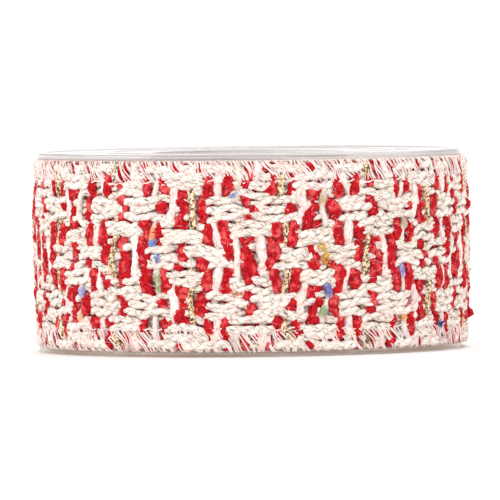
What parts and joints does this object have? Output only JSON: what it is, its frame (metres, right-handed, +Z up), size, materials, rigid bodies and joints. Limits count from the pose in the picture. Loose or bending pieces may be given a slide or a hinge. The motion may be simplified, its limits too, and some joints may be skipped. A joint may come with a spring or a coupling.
{
  "type": "roll of ribbon on a clear reel",
  "caption": "Short, wide roll of woven boucle tweed ribbon with overlocked edges, wound on a flanged clear plastic reel with an open hub, lying on its flange.",
  "frame": {"origin": "bottom centre of the reel, on the surface it lies on", "axes": "+Z up along the reel's axis; -Y is the side seen in the picture; the ribbon's cut end is at the back, on the +Y side towards -X"},
  "size_m": [0.0943, 0.095, 0.0434],
  "materials": {
    "clear_plastic": "clear, polished",
    "tweed": "matt, hairy, with metallic threads"
  },
  "bodies": {
    "root": {"reel_lower": "clear_plastic", "reel_upper": "clear_plastic", "ribbon_roll": "tweed"}
  },
  "joints": []
}
